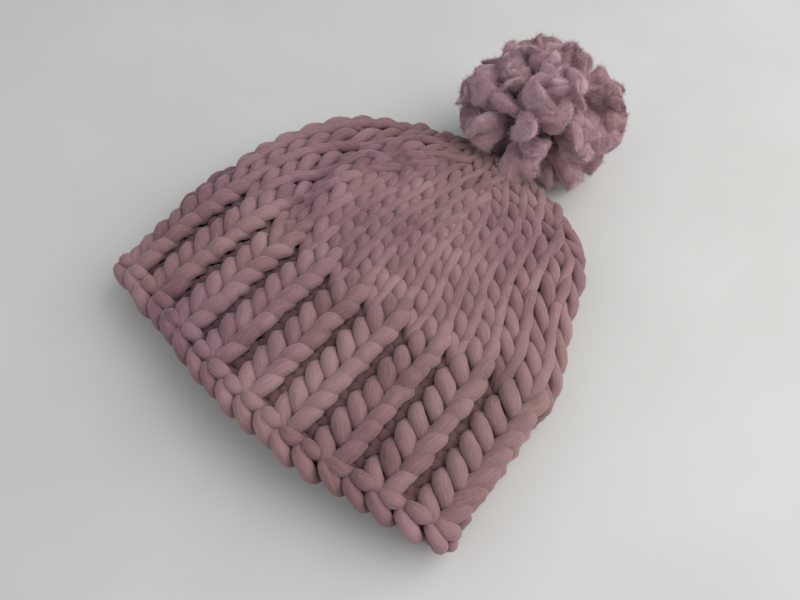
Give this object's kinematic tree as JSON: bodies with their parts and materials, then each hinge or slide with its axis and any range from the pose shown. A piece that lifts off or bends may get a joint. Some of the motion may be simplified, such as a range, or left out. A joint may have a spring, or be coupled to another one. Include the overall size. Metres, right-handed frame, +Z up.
{
  "type": "pom pom beanie",
  "caption": "Knitted winter hat in thick roving yarn with a ribbed brim, a gathered crown and a large pom pom that swings on its own yarn shank.",
  "frame": {"origin": "on the table under the middle of the whole object's box, with the hat lying flat as it is put down", "axes": "+Z up out of the table, +Y from the brim to the pom pom along the middle of the hat, +X to the right-hand fold seen from above with the brim towards the viewer"},
  "size_m": [0.2227, 0.275, 0.0731],
  "materials": {
    "hat_wool": "matte single-ply roving wool, softly felted",
    "tying_yarn": "matte plied wool, pulled tight",
    "pom_pom_roving": "matte brushed roving with loose fibres"
  },
  "bodies": {
    "hat": {"cast_on_edge": "hat_wool", "rib_brim": "hat_wool", "knit_body": "hat_wool", "crown_fabric": "hat_wool", "crown_drawstring": "tying_yarn", "cast_on_tail": "tying_yarn", "drawstring_tail": "tying_yarn", "anchor_knot": "tying_yarn"},
    "shank_base": {"shank_loop": "tying_yarn"},
    "shank": {"shank_yarn": "tying_yarn"},
    "pompom": {"centre_tie": "tying_yarn", "bundle_waist": "pom_pom_roving", "pile_tuft_01": "pom_pom_roving", "pile_tuft_02": "pom_pom_roving", "pile_tuft_03": "pom_pom_roving", "pile_tuft_04": "pom_pom_roving", "pile_tuft_05": "pom_pom_roving", "pile_tuft_06": "pom_pom_roving", "pile_tuft_07": "pom_pom_roving", "pile_tuft_08": "pom_pom_roving", "pile_tuft_09": "pom_pom_roving", "pile_tuft_10": "pom_pom_roving", "pile_tuft_11": "pom_pom_roving", "pile_tuft_12": "pom_pom_roving", "pile_tuft_13": "pom_pom_roving", "pile_tuft_14": "pom_pom_roving", "pile_tuft_15": "pom_pom_roving", "pile_tuft_16": "pom_pom_roving", "pile_tuft_17": "pom_pom_roving", "pile_tuft_18": "pom_pom_roving", "pile_tuft_19": "pom_pom_roving", "pile_tuft_20": "pom_pom_roving", "pile_tuft_21": "pom_pom_roving", "pile_tuft_22": "pom_pom_roving", "pile_tuft_23": "pom_pom_roving", "pile_tuft_24": "pom_pom_roving", "pile_tuft_25": "pom_pom_roving", "pile_tuft_26": "pom_pom_roving", "pile_tuft_27": "pom_pom_roving", "pile_tuft_28": "pom_pom_roving", "pile_tuft_29": "pom_pom_roving", "pile_tuft_30": "pom_pom_roving", "pile_tuft_31": "pom_pom_roving", "pile_tuft_32": "pom_pom_roving", "pile_tuft_33": "pom_pom_roving", "pile_tuft_34": "pom_pom_roving", "pile_tuft_35": "pom_pom_roving", "pile_tuft_36": "pom_pom_roving"}
  },
  "joints": [
    {"name": "pompom_swing", "type": "hinge", "parent": "hat", "child": "shank_base", "pos_m": [-0.00194, 0.06588, 0.01791], "axis": [0, 0, 1], "range_deg": [-12, 20]},
    {"name": "pompom_tilt", "type": "hinge", "parent": "shank_base", "child": "shank", "pos_m": [-0.00194, 0.06588, 0.01791], "axis": [1, 0, 0], "range_deg": [0, 25]},
    {"name": "pompom_twist", "type": "hinge", "parent": "shank", "child": "pompom", "pos_m": [0.00476, 0.0921, 0.037], "axis": [0.2023, 0.7916, 0.5765], "range_deg": [-30, 30]}
  ]
}
